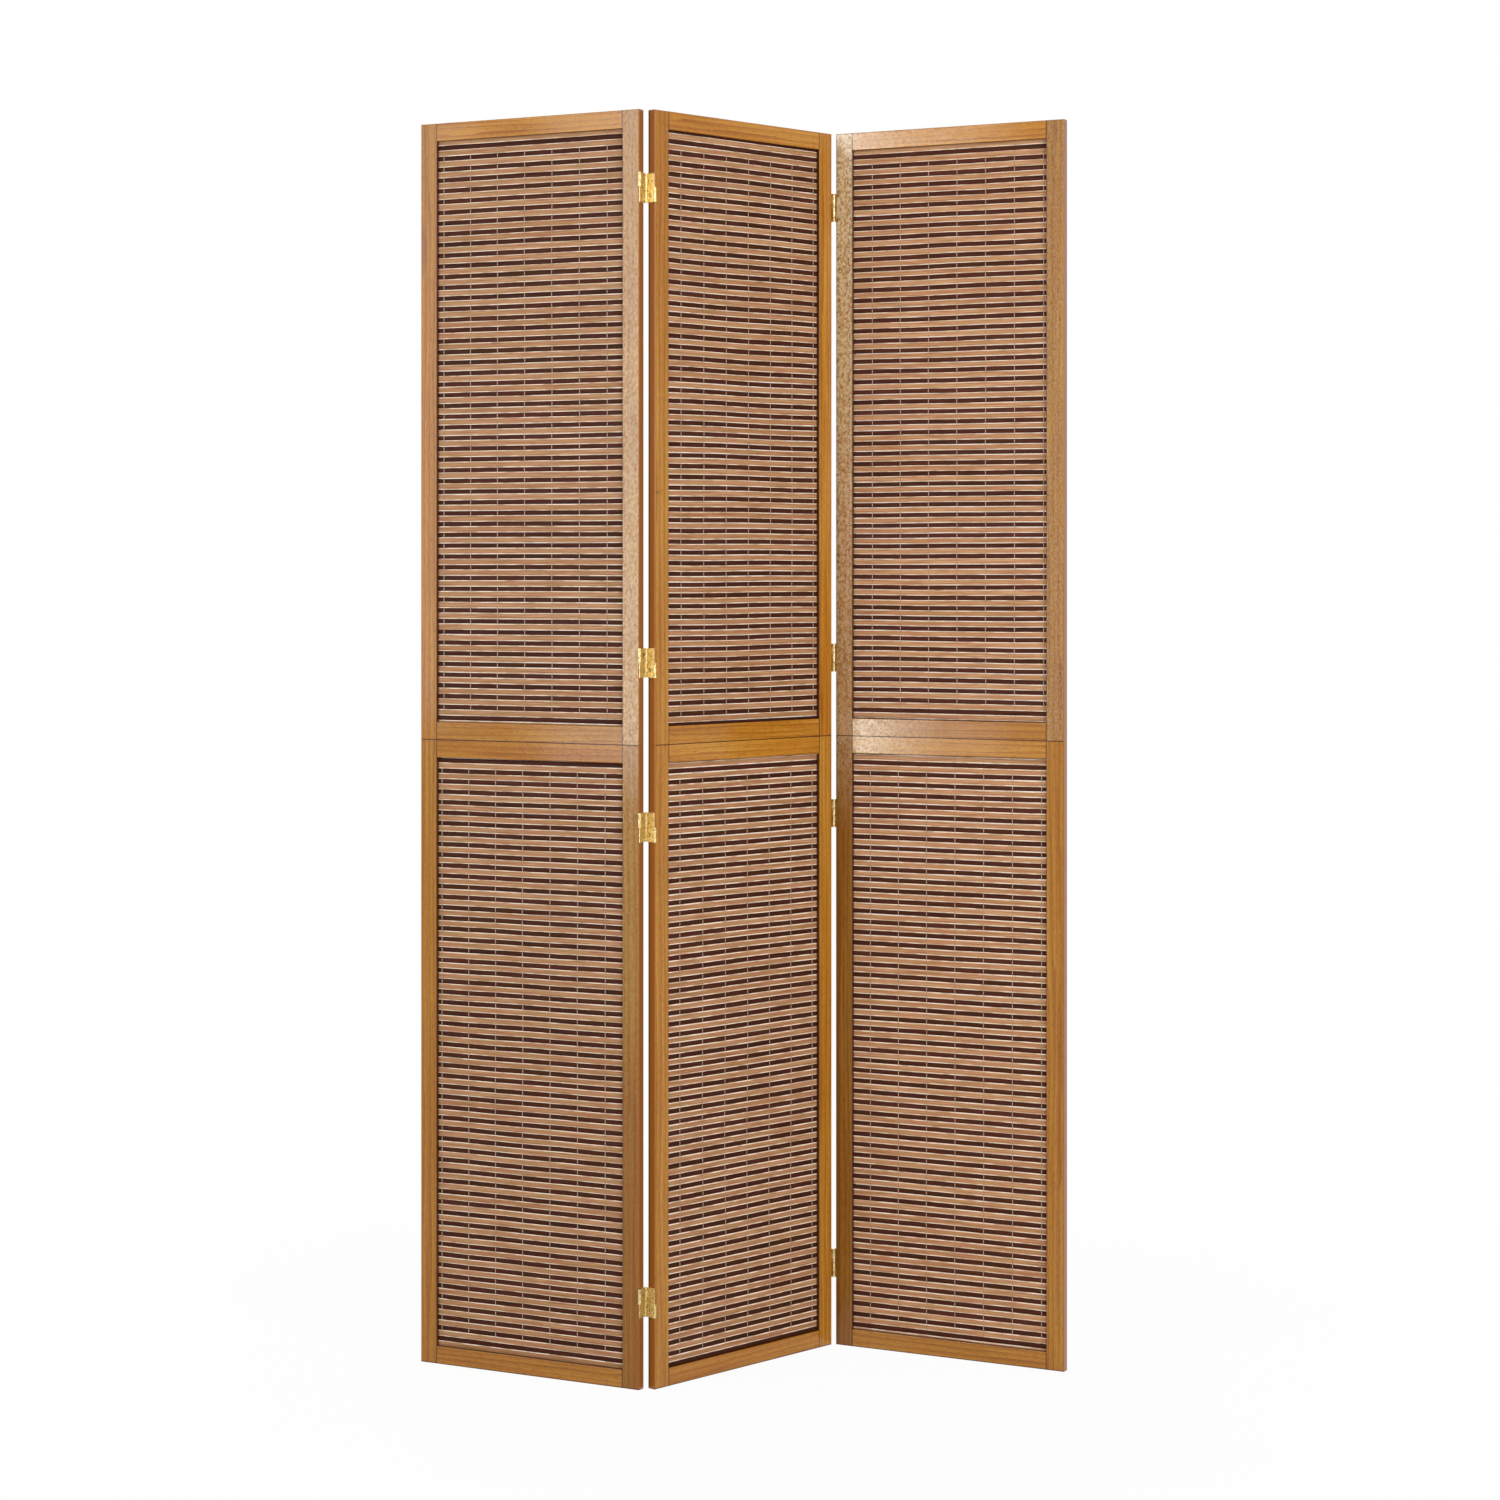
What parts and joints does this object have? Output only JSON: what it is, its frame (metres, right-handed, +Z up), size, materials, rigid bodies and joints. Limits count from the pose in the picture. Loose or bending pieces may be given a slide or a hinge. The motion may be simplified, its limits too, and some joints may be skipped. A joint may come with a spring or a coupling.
{
  "type": "folding screen",
  "caption": "Free-standing folding screen: slatted wooden frames stacked into tall panels, joined by brass double-acting hinges, standing in a zigzag and folding flat.",
  "frame": {"origin": "on the floor under the centre of the middle panel, which is the centre of the screen's footprint", "axes": "+Z up, +X along the line of the zigzag from the left panel to the right one, +Y away from the viewer"},
  "size_m": [1.0166, 0.257, 2],
  "materials": {
    "varnished_pine": "honey varnish, gloss",
    "light_slat_wood": "light tan, satin",
    "dark_slat_wood": "dark brown, satin",
    "cotton_thread": "beige twisted thread",
    "beech_dowel": "plain beech",
    "hinge_brass": "polished"
  },
  "bodies": {
    "left_panel": {"left_lower_left_stile": "varnished_pine", "left_lower_right_stile": "varnished_pine", "left_lower_bottom_rail": "varnished_pine", "left_lower_top_rail": "varnished_pine", "left_lower_light_slats": "light_slat_wood", "left_lower_dark_slats": "dark_slat_wood", "left_upper_left_stile": "varnished_pine", "left_upper_right_stile": "varnished_pine", "left_upper_bottom_rail": "varnished_pine", "left_upper_top_rail": "varnished_pine", "left_upper_light_slats": "light_slat_wood", "left_upper_dark_slats": "dark_slat_wood", "left_warp_threads": "cotton_thread", "left_dowels": "beech_dowel", "left_hinge_leaves": "hinge_brass", "left_hinge_screws": "hinge_brass", "left_pin_ends": "hinge_brass"},
    "middle_panel": {"middle_lower_left_stile": "varnished_pine", "middle_lower_right_stile": "varnished_pine", "middle_lower_bottom_rail": "varnished_pine", "middle_lower_top_rail": "varnished_pine", "middle_lower_light_slats": "light_slat_wood", "middle_lower_dark_slats": "dark_slat_wood", "middle_upper_left_stile": "varnished_pine", "middle_upper_right_stile": "varnished_pine", "middle_upper_bottom_rail": "varnished_pine", "middle_upper_top_rail": "varnished_pine", "middle_upper_light_slats": "light_slat_wood", "middle_upper_dark_slats": "dark_slat_wood", "middle_warp_threads": "cotton_thread", "middle_dowels": "beech_dowel", "middle_hinge_leaves": "hinge_brass", "middle_hinge_screws": "hinge_brass"},
    "right_panel": {"right_lower_left_stile": "varnished_pine", "right_lower_right_stile": "varnished_pine", "right_lower_bottom_rail": "varnished_pine", "right_lower_top_rail": "varnished_pine", "right_lower_light_slats": "light_slat_wood", "right_lower_dark_slats": "dark_slat_wood", "right_upper_left_stile": "varnished_pine", "right_upper_right_stile": "varnished_pine", "right_upper_bottom_rail": "varnished_pine", "right_upper_top_rail": "varnished_pine", "right_upper_light_slats": "light_slat_wood", "right_upper_dark_slats": "dark_slat_wood", "right_warp_threads": "cotton_thread", "right_dowels": "beech_dowel", "right_hinge_leaves": "hinge_brass", "right_hinge_screws": "hinge_brass", "right_pin_ends": "hinge_brass"},
    "left_upper_link_set": {"left_upper_links": "hinge_brass", "left_upper_pins": "hinge_brass"},
    "left_lower_link_set": {"left_lower_links": "hinge_brass", "left_lower_pins": "hinge_brass"},
    "right_upper_link_set": {"right_upper_links": "hinge_brass", "right_upper_pins": "hinge_brass"},
    "right_lower_link_set": {"right_lower_links": "hinge_brass", "right_lower_pins": "hinge_brass"}
  },
  "joints": [
    {"name": "left_fold", "type": "hinge", "parent": "middle_panel", "child": "left_upper_link_set", "pos_m": [-0.17073, -0.10901, 1], "axis": [0, 0, -1], "range_deg": [-71, 109]},
    {"name": "left_reverse_fold", "type": "hinge", "parent": "left_upper_link_set", "child": "left_panel", "pos_m": [-0.18281, -0.12594, 1], "axis": [0, 0, 1], "range_deg": [0, 90]},
    {"name": "left_lower_link_turn", "type": "hinge", "parent": "middle_panel", "child": "left_lower_link_set", "pos_m": [-0.15866, -0.12594, 1], "axis": [0, 0, 1], "range_deg": [0, 90]},
    {"name": "right_fold", "type": "hinge", "parent": "middle_panel", "child": "right_upper_link_set", "pos_m": [0.17073, 0.10901, 1], "axis": [0, 0, -1], "range_deg": [-71, 109]},
    {"name": "right_reverse_fold", "type": "hinge", "parent": "right_upper_link_set", "child": "right_panel", "pos_m": [0.18281, 0.12594, 1], "axis": [0, 0, 1], "range_deg": [0, 90]},
    {"name": "right_lower_link_turn", "type": "hinge", "parent": "middle_panel", "child": "right_lower_link_set", "pos_m": [0.15866, 0.12594, 1], "axis": [0, 0, 1], "range_deg": [0, 90]}
  ],
  "couplings": [
    {"joint": "left_lower_link_turn", "follows": "left_reverse_fold", "ratio": 1},
    {"joint": "right_lower_link_turn", "follows": "right_reverse_fold", "ratio": 1}
  ]
}
